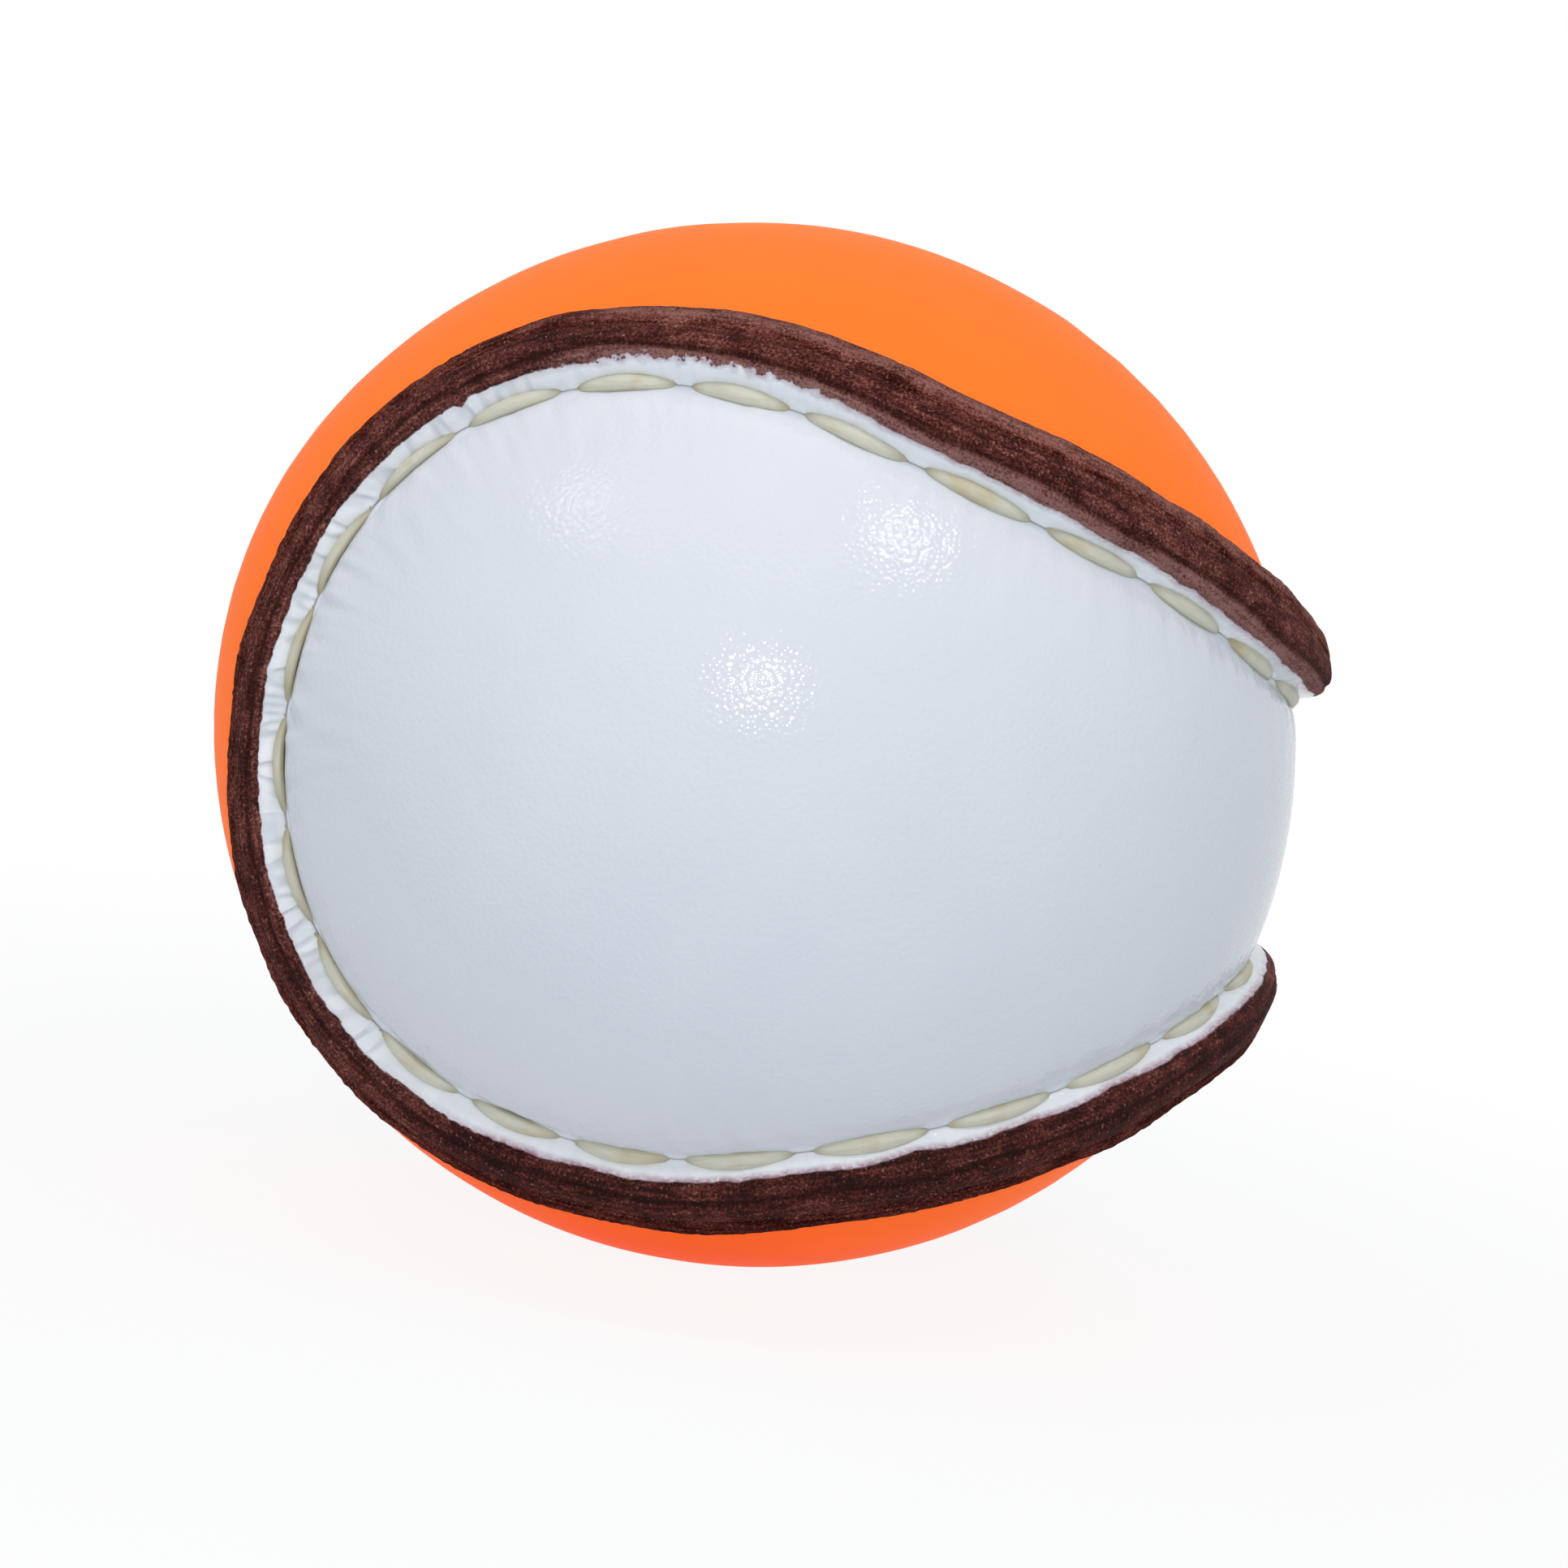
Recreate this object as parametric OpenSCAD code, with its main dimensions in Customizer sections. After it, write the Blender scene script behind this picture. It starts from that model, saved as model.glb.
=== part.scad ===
// Sliotar: a cork-centred, yarn-wound hurling ball in a two-panel leather cover with a raised, sewn seam.
// Origin at the ball's centre. +X leaves through the white waist, -X through the orange waist,
// +Y and -Y lie in the white lobes, +Z and -Z in the orange lobes.

/* [Ball] */
// Diameter over the leather, without the ridge
ball_d = 71; // [62:0.5:80]

/* [Core] */
// Diameter of the cork centre
cork_d = 40; // [30:1:46]
// Thickness of the fine yarn that finishes the winding
fine_yarn_t = 3.3; // [1:0.1:5]

/* [Leather] */
// Thickness of the leather, and so of each turned-out edge
leather_t = 2.2; // [1.8:0.1:2.7]
// How far the axis of each lobe leans towards its own waist's far side, in degrees
lobe_lean = 20.5; // [14:0.5:26]

/* [Ridge] */
// Height of the sewn edges above the ball
ridge_h = 2.4; // [2:0.1:2.8]
// Radius of the rubbed-down outer corner of each edge
edge_round = 1.1; // [0.4:0.1:1.4]
// Depth of the groove between the two edges
groove_depth = 0.35; // [0.1:0.05:0.6]
// Half the width of that groove at its mouth
groove_half_w = 0.45; // [0.2:0.05:0.6]

/* [Stitching] */
// Stitches round the seam on each side, a whole number on each of the four arcs
stitches = 52; // [40:4:64]
// Diameter of a thread at the middle of a stitch
thread_d = 1.2; // [0.8:0.1:1.4]
// Diameter of a thread drawn tight in its hole
drawn_d = 0.52; // [0.4:0.02:0.6]
// Play round the threads in a hole, and between a stitch and the leather
thread_gap = 0.05; // [0.03:0.01:0.1]
// Height of the lowest point of a stitch hole above the ball
hole_lift = 0.2; // [0.1:0.05:0.4]

/* [Hidden] */
// Facets of the spheres, and steps of the seam along each arc
$fn = 96;
arc_steps = 26;
// Sides of a thread and steps of a rounded corner
thread_sides = 6;
round_steps = 3;

ball_r = ball_d / 2;
wound_r = ball_r - leather_t;
inner_winding_r = wound_r - fine_yarn_t;
ridge_r = ball_r + ridge_h;

// The seam is four equal arcs of a circle on the ball, one round each lobe, tangent where they meet.
// Angle from a lobe's axis to the seam round it
lobe_angle = acos(cos(lobe_lean) / sqrt(2));
// Half the turn that each arc makes about its lobe's axis
arc_half = 90 + atan(sin(lobe_lean));
seam_steps = 4 * arc_steps;

// Each lobe: its axis, the direction from the axis to the middle of its arc, the direction of travel there,
// and 1 where the white panel lies inside the arc
LOBES = [
    [[-sin(lobe_lean), cos(lobe_lean), 0], [-cos(lobe_lean), -sin(lobe_lean), 0], [0, 0, 1], 1],
    [[sin(lobe_lean), 0, cos(lobe_lean)], [cos(lobe_lean), 0, -sin(lobe_lean)], [0, -1, 0], -1],
    [[-sin(lobe_lean), -cos(lobe_lean), 0], [-cos(lobe_lean), sin(lobe_lean), 0], [0, 0, -1], 1],
    [[sin(lobe_lean), 0, -cos(lobe_lean)], [cos(lobe_lean), 0, sin(lobe_lean)], [0, 1, 0], -1]
];

// Place t on the seam runs from 0 to 4, one unit to an arc
function lobe_at(t) = LOBES[floor(t) % 4];
function turn_at(t) = arc_half * (2 * (t - floor(t)) - 1);
// Outward direction from the ball's centre at place t
function seam_out(t) =
    let (lobe = lobe_at(t), a = turn_at(t))
    cos(lobe_angle) * lobe[0] + sin(lobe_angle) * (cos(a) * lobe[1] + sin(a) * lobe[2]);
// Direction along the ball's surface, square to the seam, into the white panel
function seam_side(t) =
    let (lobe = lobe_at(t), a = turn_at(t))
    lobe[3] * (sin(lobe_angle) * lobe[0] - cos(lobe_angle) * (cos(a) * lobe[1] + sin(a) * lobe[2]));
// Point at place t, side mm into the white panel and rise mm above the ball
function seam_point(t, side, rise) = (ball_r + rise) * seam_out(t) + side * seam_side(t);

// Outline of both turned-out edges across the seam, from deep in the leather up one side and down the other
edge_half = [
    [leather_t, -leather_t / 2],
    for (i = [0 : round_steps])
        let (a = 90 * i / round_steps)
        [leather_t - edge_round + edge_round * cos(a), ridge_h - edge_round + edge_round * sin(a)],
    [groove_half_w, ridge_h],
    [groove_half_w / 3, ridge_h - groove_depth]
];
edge_count = len(edge_half);
edge_outline = [
    for (p = edge_half) [-p[0], p[1]],
    for (i = [edge_count - 1 : -1 : 0]) edge_half[i]
];

// Stitch holes pass through both edges, and both threads pass through each hole, one above the other
hole_r = drawn_d + 2 * thread_gap;
hole_rise = hole_lift + hole_r;
lane = drawn_d / 2 + thread_gap;
// A stitch leaves its hole clear of the edge's face, then lies in the corner between the edge and the ball
mouth_side = leather_t + drawn_d / 2 + thread_gap;
stitch_side = leather_t + thread_d / 2 + thread_gap;
stitch_rise = thread_d / 2 + thread_gap - stitch_side * stitch_side / ball_d;

// Closed ring of outlines: rings is a list of equal lists of points
module loop_skin(rings) {
    n = len(rings);
    m = len(rings[0]);
    polyhedron(
        points = [for (ring = rings) each ring],
        faces = [
            for (i = [0 : n - 1], j = [0 : m - 1])
                let (i2 = (i + 1) % n, j2 = (j + 1) % m)
                each [[i * m + j, i * m + j2, i2 * m + j2], [i * m + j, i2 * m + j2, i2 * m + j]]
        ],
        convexity = 12
    );
}

module ridge() {
    loop_skin([
        for (i = [0 : seam_steps - 1])
            let (t = i / arc_steps)
            [for (p = edge_outline) seam_point(t, p[0], p[1])]
    ]);
}

// Everything on the white side of the seam: a fan of walls from the centre, closed far outside the ball
module white_side() {
    far = 2 * ridge_r;
    first = arc_steps / 2;
    function across(i) = (arc_steps - i + 2 * seam_steps) % seam_steps;
    polyhedron(
        points = [for (i = [0 : seam_steps - 1]) far * seam_out(i / arc_steps), [0, 0, 0]],
        faces = [
            for (i = [0 : seam_steps - 1]) [seam_steps, i, (i + 1) % seam_steps],
            for (i = [first : first + seam_steps / 2 - 1])
                let (a = i % seam_steps, b = (i + 1) % seam_steps, c = across(i + 1), d = across(i))
                i == first ? [c, b, a] : i == first + seam_steps / 2 - 1 ? [d, b, a] : [d, c, b, a]
        ],
        convexity = 12
    );
}

module stitch_holes() {
    length = 4 * leather_t;
    for (k = [0 : stitches - 1])
        let (t = 4 * (k + 0.5) / stitches, n = seam_side(t))
        translate(seam_point(t, 0, hole_rise))
        rotate([0, acos(n[2]), atan2(n[1], n[0])])
        cylinder(h = length, r = hole_r, center = true, $fn = 24);
}

// One cut of leather, drawn over the ball with its edge turned out and pierced. Both cuts are the same.
module leather_cut() {
    intersection() {
        difference() {
            union() {
                difference() {
                    sphere(r = ball_r);
                    sphere(r = wound_r);
                }
                ridge();
            }
            stitch_holes();
        }
        white_side();
    }
}

module white_panel() {
    color("whitesmoke") leather_cut();
}

module orange_panel() {
    color("darkorange") mirror([1, 0, 0]) rotate([90, 0, 0]) leather_cut();
}

module cork_core() {
    color("burlywood") sphere(d = cork_d);
}

module inner_winding() {
    color("slategray")
    difference() {
        sphere(r = inner_winding_r);
        sphere(d = cork_d);
    }
}

module outer_winding() {
    color("gainsboro")
    difference() {
        sphere(r = wound_r);
        sphere(r = inner_winding_r);
    }
}

// Steps of one stitch: its share of the way to the next hole, its distance from the middle of the ridge,
// its height (0 at the hole, 1 lying beside the ridge) and its thickness (0 drawn tight, 1 full)
STITCH = [
    [0, 0, 0, 0],
    [0, mouth_side, 0, 0],
    [0.2, stitch_side, 1, 0.75],
    [0.5, stitch_side, 1, 1],
    [0.8, stitch_side, 1, 0.75],
    [1, mouth_side, 0, 0]
];
stitch_steps = len(STITCH);
function between(a, b, f) = a + (b - a) * f;

// Thread centre at step i, with the first stitch on the given side (1 white, -1 orange).
// It leaves a hole in the upper lane on the white side and in the lower lane on the orange side.
function stitch_side_at(i, first) = first * (floor(i / stitch_steps) % 2 == 0 ? 1 : -1);
function thread_point(i, first) =
    let (
        k = floor(i / stitch_steps),
        s = STITCH[i % stitch_steps],
        side = stitch_side_at(i, first),
        lane_rise = hole_rise + (s[0] < 0.5 ? side : -side) * lane
    )
    seam_point(4 * (k + 0.5 + s[0]) / stitches % 4, side * s[1], between(lane_rise, stitch_rise, s[2]));
function thread_r(i) = between(drawn_d, thread_d, STITCH[i % stitch_steps][3]) / 2;

module thread(first) {
    n = stitches * stitch_steps;
    loop_skin([
        for (i = [0 : n - 1])
            let (
                p = thread_point(i, first),
                ahead = thread_point((i + 1) % n, first) - thread_point((i + n - 1) % n, first),
                along = ahead / norm(ahead),
                lift = p / norm(p) - along * (along * p) / norm(p),
                up = lift / norm(lift),
                across = cross(along, up)
            )
            [
                for (j = [0 : thread_sides - 1])
                    let (a = 360 * j / thread_sides)
                    p + thread_r(i) * (cos(a) * across + sin(a) * up)
            ]
    ]);
}

module first_thread() {
    color("wheat") thread(1);
}

module second_thread() {
    color("wheat") thread(-1);
}

cork_core();
inner_winding();
outer_winding();
white_panel();
orange_panel();
first_thread();
second_thread();
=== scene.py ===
"""Looks of a hurling ball: two leather panels sewn edge to edge into a raised ridge, and its core.

Lengths inside the classes are in millimetres, and finished meshes are scaled to metres once.
"""

import logging
import math
from dataclasses import dataclass
from enum import Enum

import bmesh
import bpy
import numpy as np
from mathutils import Matrix, Vector

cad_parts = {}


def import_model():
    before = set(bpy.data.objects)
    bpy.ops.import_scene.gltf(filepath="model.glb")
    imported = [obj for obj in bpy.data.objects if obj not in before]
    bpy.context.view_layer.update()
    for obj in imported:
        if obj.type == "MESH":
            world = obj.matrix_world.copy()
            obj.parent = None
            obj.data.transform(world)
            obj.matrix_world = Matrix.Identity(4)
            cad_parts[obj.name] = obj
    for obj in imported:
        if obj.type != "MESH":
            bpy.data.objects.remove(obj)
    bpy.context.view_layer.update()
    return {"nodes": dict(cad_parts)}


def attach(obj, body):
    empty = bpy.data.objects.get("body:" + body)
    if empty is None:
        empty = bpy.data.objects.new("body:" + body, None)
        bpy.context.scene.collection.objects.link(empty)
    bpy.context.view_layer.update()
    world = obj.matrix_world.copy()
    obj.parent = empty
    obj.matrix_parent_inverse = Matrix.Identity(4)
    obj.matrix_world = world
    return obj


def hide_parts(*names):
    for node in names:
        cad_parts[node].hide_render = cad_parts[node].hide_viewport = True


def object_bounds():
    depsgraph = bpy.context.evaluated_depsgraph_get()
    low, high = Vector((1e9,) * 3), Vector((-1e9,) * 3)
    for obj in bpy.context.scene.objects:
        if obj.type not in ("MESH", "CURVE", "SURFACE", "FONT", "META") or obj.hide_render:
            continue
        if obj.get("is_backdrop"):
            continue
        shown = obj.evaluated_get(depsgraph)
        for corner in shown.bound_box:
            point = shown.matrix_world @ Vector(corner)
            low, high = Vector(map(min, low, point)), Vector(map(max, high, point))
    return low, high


LOG = logging.getLogger("sliotar")
METRES = 0.001
LEATHER_MARKS = (
    "along",
    "across",
    "dye_gap",
    "groove",
    # soil marks the crease and the thread's sunk parts, darkened partly by soil and partly by painted shade.
    "soil_and_shade",
    # fresh marks the upturned edge for painted light.
    "fresh",
    "pleated",
    "flaking",
    "thinness",
    "dense",
    "bleed",
)
Sockets = dict[str, bpy.types.NodeSocket]


class Panel(Enum):
    """The two leather panels, with the sign of their side of the seam."""

    WHITE = 1
    ORANGE = -1


def linear(hex_colour: str) -> tuple[float, float, float, float]:
    """Turns an sRGB hex colour into linear RGBA.

    Args:
        hex_colour: Six hex digits after a number sign.

    Returns:
        Linear red, green, blue and an alpha of 1.
    """
    shares = [int(hex_colour[i : i + 2], 16) / 255 for i in (1, 3, 5)]
    steps = [s / 12.92 if s <= 0.04045 else ((s + 0.055) / 1.055) ** 2.4 for s in shares]
    return (*steps, 1.0)


def add_node(
    tree: bpy.types.NodeTree, kind: str, inputs: dict | None = None, **settings: object
) -> bpy.types.Node:
    """Adds a shader node, sets its properties and fills its inputs.

    Args:
        tree: The node tree that gets the node.
        kind: The node's class name without the ShaderNode prefix.
        inputs: Values or output sockets, by the input's name or number.
        settings: Properties of the node.

    Returns:
        The new node.
    """
    node = tree.nodes.new(f"ShaderNode{kind}")
    for key, value in settings.items():
        setattr(node, key, value)
    for key, value in (inputs or {}).items():
        if isinstance(value, bpy.types.NodeSocket):
            tree.links.new(value, node.inputs[key])
        else:
            node.inputs[key].default_value = value
    return node


def new_material(name: str) -> tuple[bpy.types.Material, bpy.types.NodeTree]:
    """Starts a node material without any nodes.

    Args:
        name: The material's name.

    Returns:
        The material and its node tree.
    """
    made = bpy.data.materials.new(name)
    made.use_nodes = True
    made.node_tree.nodes.clear()
    return made, made.node_tree


def direct_rays(tree: bpy.types.NodeTree) -> bpy.types.NodeSocket:
    """Picks out the rays that show a surface itself, seen straight, mirrored or through glass.

    Args:
        tree: The node tree of the floor or the surroundings.

    Returns:
        A socket with 1 for those rays and 0 for the ones that carry its light.
    """
    path = add_node(tree, "LightPath").outputs
    shown = path["Is Camera Ray"]
    for kind in ("Is Glossy Ray", "Is Transmission Ray"):
        shown = add_node(tree, "Math", {0: shown, 1: path[kind]}, operation="MAXIMUM").outputs[0]
    return shown


def smoothstep(low: float | np.ndarray, high: float | np.ndarray, value: np.ndarray) -> np.ndarray:
    """Rises smoothly from 0 at low to 1 at high."""
    share = np.clip((value - low) / (high - low), 0.0, 1.0)
    return share * share * (3.0 - 2.0 * share)


def hump(value: np.ndarray, middle: float | np.ndarray, half_width: float) -> np.ndarray:
    """Gives a bell of height 1 round a middle."""
    return np.exp(-(((value - middle) / half_width) ** 2))


@dataclass(frozen=True)
class Seam:
    """The closed seam on the ball: four equal arcs, each round the axis of one lobe.

    A place is the distance along the seam, side the distance from it into the white panel
    (negative into the orange one), and rise the height over the ball's surface.
    """

    ball_r: float = 35.5
    lean: float = math.radians(20.5)
    stitches: int = 52
    wound_r: float = 33.3
    wider: float = 0.017
    wander_mm: float = 0.62
    wander_waves: int = 9
    wander_from: float = 252.0
    wander_reach: float = 6.0
    set_in: float = 0.45
    # Where the seam leaves its ideal line: middle along it, distance into the white panel, half-width.
    strays: tuple[tuple[float, float, float], ...] = (
        (50.7, 2.3, 38.0),
        (152.2, 1.4, 14.0),
        (190.0, -0.5, 17.0),
        (264.0, 0.54, 26.0),
        (291.0, 0.7, 10.0),
        (318.0, 0.2, 25.0),
        (336.0, 0.62, 11.0),
        (355.2, 1.9, 12.0),
    )
    swell_mm: float = 0.4
    swell_toward: tuple[float, float, float] = (-0.957, 0.043, 0.288)
    swell_half: float = math.radians(25)
    full_size: float = 1.08
    size_ripple: float = 0.02
    # Where the ridge is lower: middle (in arcs for the tips), share of its size that is lost, half-width.
    tip_dips: tuple[tuple[float, float, float], ...] = ((0.5, 0.42, 32.0), (2.46, 0.33, 25.0))
    waist_dips: tuple[tuple[float, float, float], ...] = ((153.0, 0.12, 6.0), (351.0, 0.06, 10.0))

    @property
    def lobe_angle(self) -> float:
        """Angle from a lobe's axis to the seam."""
        return math.acos(math.cos(self.lean) / math.sqrt(2))

    @property
    def arc_half(self) -> float:
        """Half of the turn that one arc makes round its lobe's axis."""
        return math.pi / 2 + math.atan(math.sin(self.lean))

    @property
    def arc_length(self) -> float:
        """Length of one arc on the ball's surface."""
        return self.ball_r * math.sin(self.lobe_angle) * 2 * self.arc_half

    @property
    def length(self) -> float:
        """Length of the whole seam."""
        return 4 * self.arc_length

    @property
    def pitch(self) -> float:
        """Distance from one stitch hole to the next."""
        return self.length / self.stitches

    @property
    def pole_depth(self) -> float:
        """Distance from the seam to the middle of a lobe."""
        return self.ball_r * self.lobe_angle

    def lobe(self, number: int) -> tuple[Vector, Vector, Vector]:
        """Gives a lobe's axis, the direction to its arc's middle and the direction of travel there.

        Args:
            number: 0 and 2 for the white lobes, 1 and 3 for the orange ones.

        Returns:
            Three unit vectors.
        """
        s, c = math.sin(self.lean), math.cos(self.lean)
        lobes = (
            ((-s, c, 0), (-c, -s, 0), (0, 0, 1)),
            ((s, 0, c), (c, 0, -s), (0, -1, 0)),
            ((-s, -c, 0), (-c, s, 0), (0, 0, -1)),
            ((s, 0, -c), (c, 0, s), (0, 1, 0)),
        )
        return tuple(Vector(v) for v in lobes[number])

    def frames(self) -> tuple[np.ndarray, np.ndarray, np.ndarray]:
        """Gives the four lobes' axes, middles and travels as arrays."""
        rows = [self.lobe(i) for i in range(4)]
        return tuple(np.array([row[j] for row in rows]) for j in range(3))

    def wander(self, place: np.ndarray, side: np.ndarray) -> np.ndarray:
        """Gives how far the hand-sewn seam strays to the white side, fading into the panels.

        Args:
            place: Distances along the seam.
            side: Distances from it into the white panel.

        Returns:
            Distances to the white side.
        """
        wave = np.cos(2 * math.pi * self.wander_waves * (place - self.wander_from) / self.length)
        stray = self.set_in + sum(mm * self.near(place, middle, half) for middle, mm, half in self.strays)
        return (self.wander_mm * wave + stray) * hump(side, 0, self.wander_reach)

    def near(self, place: np.ndarray, middle: float, half_width: float) -> np.ndarray:
        """Gives a bell of height 1 round a place, measured the short way round the seam."""
        gap = np.mod(place - middle + self.length / 2, self.length) - self.length / 2
        return hump(gap, 0, half_width)

    def at(self, place: np.ndarray, side: np.ndarray, rise: np.ndarray) -> np.ndarray:
        """Finds points on the sewn ball from their place along the seam.

        Args:
            place: Distances along the seam.
            side: Distances from the seam into the white panel.
            rise: Heights over the ball's surface.

        Returns:
            One row of coordinates for each place, with the ball a little out of round.
        """
        axes, middles, travels = self.frames()
        arcs = place / self.arc_length
        number = np.floor(arcs).astype(int) % 4
        angle = self.arc_half * (2 * np.mod(arcs, 1.0) - 1)
        white_inside = np.where(number % 2 == 0, 1, -1)
        strayed = side + self.wander(place, side)
        polar = self.lobe_angle - white_inside * strayed / self.ball_r
        ring = np.cos(angle)[:, None] * middles[number] + np.sin(angle)[:, None] * travels[number]
        unit = np.cos(polar)[:, None] * axes[number] + np.sin(polar)[:, None] * ring
        return self.settled((self.ball_r + rise)[:, None] * unit)

    def of(self, points: np.ndarray, panel: Panel) -> tuple[np.ndarray, np.ndarray]:
        """Finds the place and side of points on one panel of an ideal ball.

        Args:
            points: One row of coordinates for each point.
            panel: The panel that the points belong to.

        Returns:
            Places along the seam, and sides.
        """
        axes, middles, travels = self.frames()
        unit = points / np.linalg.norm(points, axis=1)[:, None]
        white_lobe = np.where(unit[:, 1] >= 0, 0, 2)
        orange_lobe = np.where(unit[:, 2] >= 0, 1, 3)
        own, other = (white_lobe, orange_lobe) if panel is Panel.WHITE else (orange_lobe, white_lobe)

        def round_lobe(number: np.ndarray) -> tuple[np.ndarray, np.ndarray]:
            """Turn and polar angle of each point round the lobe given for it."""
            turn = np.arctan2((unit * travels[number]).sum(1), (unit * middles[number]).sum(1))
            return turn, np.arccos(np.clip((unit * axes[number]).sum(1), -1, 1))

        own_turn, own_polar = round_lobe(own)
        other_turn, other_polar = round_lobe(other)
        inside = np.abs(own_turn) <= self.arc_half + 1e-6
        number = np.where(inside, own, other)
        turn = np.where(inside, own_turn, other_turn)
        depth = np.where(inside, self.lobe_angle - own_polar, other_polar - self.lobe_angle) * self.ball_r
        place = (number + np.clip((turn / self.arc_half + 1) / 2, 0, 1)) * self.arc_length
        return np.mod(place, self.length), depth * panel.value

    def settled(self, points: np.ndarray) -> np.ndarray:
        """Presses the cover slightly out of round, as a hand-sewn ball is, and leaves the core round.

        Args:
            points: One row of coordinates for each point of an ideal ball.

        Returns:
            The moved points.
        """
        reach = np.linalg.norm(points, axis=1)
        share = smoothstep(self.wound_r, self.ball_r, reach)
        turned = (points @ np.array(self.swell_toward)) / reach
        swell = self.swell_mm / self.ball_r * np.exp((turned - 1) / (1 - math.cos(self.swell_half)))
        stretch = 1 + (share * swell)[:, None] * np.ones(3)
        stretch[:, 0] += self.wider * share
        stretch[:, 2] -= self.wider * share
        return points * stretch

    def ripple(self, place: np.ndarray, wavelength: float, seed: int) -> np.ndarray:
        """Makes smooth irregular waves that close on themselves round the seam.

        Args:
            place: Distances along the seam.
            wavelength: Typical distance between crests.
            seed: Number that picks the waves.

        Returns:
            Heights with a root mean square of about 1.
        """
        waves = 9
        draw = np.random.default_rng(seed)
        middle = self.length / wavelength
        orders = draw.integers(max(1, int(0.55 * middle)), int(1.6 * middle) + 2, waves)
        phases = draw.uniform(0, 2 * math.pi, waves)
        turns = 2 * math.pi * np.asarray(place)[..., None] / self.length
        return np.sin(turns * orders + phases).sum(-1) * math.sqrt(2 / waves)

    def zone(self, place: np.ndarray, start: float, end: float, fade: float = 5.0) -> np.ndarray:
        """Gives 1 between two places along the seam and fades to 0 outside them."""
        return smoothstep(start - fade, start + fade, place) * (1 - smoothstep(end - fade, end + fade, place))

    def hole_gap(self, place: np.ndarray) -> np.ndarray:
        """Gives the signed distance along the seam from the nearest stitch hole."""
        return np.mod(place, self.pitch) - self.pitch / 2

    def growth(self, place: np.ndarray) -> np.ndarray:
        """Gives the ridge's size against its mean: low round the white lobes' tips, full at the waist.

        Args:
            place: Distances along the seam.

        Returns:
            Sizes, about 1 on the mean.
        """
        size = self.full_size + self.size_ripple * self.ripple(place, 16.0, 5)
        for arcs, drop, half in self.tip_dips:
            size = size - drop * self.near(place, arcs * self.arc_length, half)
        for middle, drop, half in self.waist_dips:
            size = size - drop * self.near(place, middle, half)
        return size


@dataclass(frozen=True)
class EdgeProfile:
    """Cross-section of one panel: from the seam's middle over the ridge and down to the panel's pole."""

    seam: Seam
    half_w: float = 2.4
    height: float = 2.5
    face_top: float = 0.75
    squareness: float = 2.5
    joint_gap: float = 0.015
    groove_w: float = 0.28
    groove_depth: float = 0.04
    crease_depth: float = 0.42
    crease_r: float = 0.18
    shoulder: float = 0.85
    leather_t: float = 2.2
    turn_r: float = 0.9
    width_growth: float = 0.7

    def outer(self) -> np.ndarray:
        """Lists the outside of the section from the groove to the pole.

        Returns:
            Rows of depth into the panel and rise over the ball.
        """
        groove = [
            (self.joint_gap + self.groove_w * t**1.6, self.height - self.groove_depth * (1 - t) ** 1.5)
            for t in np.linspace(0, 1, 5)
        ]
        start = groove.pop()[0]
        share = 2 / self.squareness
        dome = []
        for a in np.linspace(math.pi / 2, 0, 17):
            depth = start + (self.half_w - start) * max(math.cos(a), 0.0) ** share
            dome.append((depth, self.face_top + (self.height - self.face_top) * math.sin(a) ** share))
        foot = self.crease_r - self.crease_depth
        face = [(self.half_w, r) for r in np.linspace(self.face_top, foot, 8)[1:]]
        crease = [
            (self.half_w + self.crease_r * (1 - math.cos(a)), foot - self.crease_r * math.sin(a))
            for a in np.linspace(0, math.pi / 2, 5)[1:]
        ]
        base = crease[-1][0]
        run = np.geomspace(0.14, self.seam.pole_depth - base, 28)
        slope = [(base + x, -self.crease_depth * math.exp(-((x / self.shoulder) ** 1.3))) for x in run]
        return np.array(groove + dome + face + crease + slope)

    def inner(self) -> np.ndarray:
        """Lists the inside of the section from the pole back to the groove.

        Returns:
            Rows of depth into the panel and rise over the ball.
        """
        pole, bend_r = self.seam.pole_depth, self.turn_r
        run = pole - np.geomspace(1.0, pole - bend_r, 9)
        wall = [(pole, -self.leather_t)] + [(d, -self.leather_t) for d in run]
        bend = [
            (bend_r - (bend_r - self.joint_gap) * math.sin(a), -self.leather_t + bend_r * (1 - math.cos(a)))
            for a in np.linspace(0, math.pi / 2, 4)[1:]
        ]
        return np.array(wall + bend + [(self.joint_gap, r) for r in (0.0, 1.2)])

    @property
    def across(self) -> np.ndarray:
        """Distance along the outside from the groove to each of its points."""
        steps = np.linalg.norm(np.diff(self.outer(), axis=0), axis=1)
        return np.concatenate([[0], np.cumsum(steps)])

    @property
    def crease_across(self) -> float:
        """Distance along the outside from the groove to the bottom of the crease."""
        return float(self.across[np.argmin(self.outer()[:, 1])])

    def normals(self) -> np.ndarray:
        """Gives the outward direction at each point of the outside.

        Returns:
            Rows of depth and rise, of length 1.
        """
        along = np.gradient(self.outer(), self.across, axis=0)
        along /= np.linalg.norm(along, axis=1)[:, None]
        return np.stack([-along[:, 1], along[:, 0]], axis=1)


def place_piece(mesh: bpy.types.Mesh, name: str, material: bpy.types.Material) -> bpy.types.Object:
    """Puts a finished mesh in the scene as a piece of the ball.

    Args:
        mesh: The mesh, in millimetres.
        name: The piece's name.
        material: Its only material.

    Returns:
        The piece, at the origin and riding on the ball.
    """
    mesh.transform(Matrix.Scale(METRES, 4))
    mesh.shade_smooth()
    mesh.materials.append(material)
    piece = bpy.data.objects.new(name, mesh)
    bpy.context.scene.collection.objects.link(piece)
    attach(piece, "root")
    return piece


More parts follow.
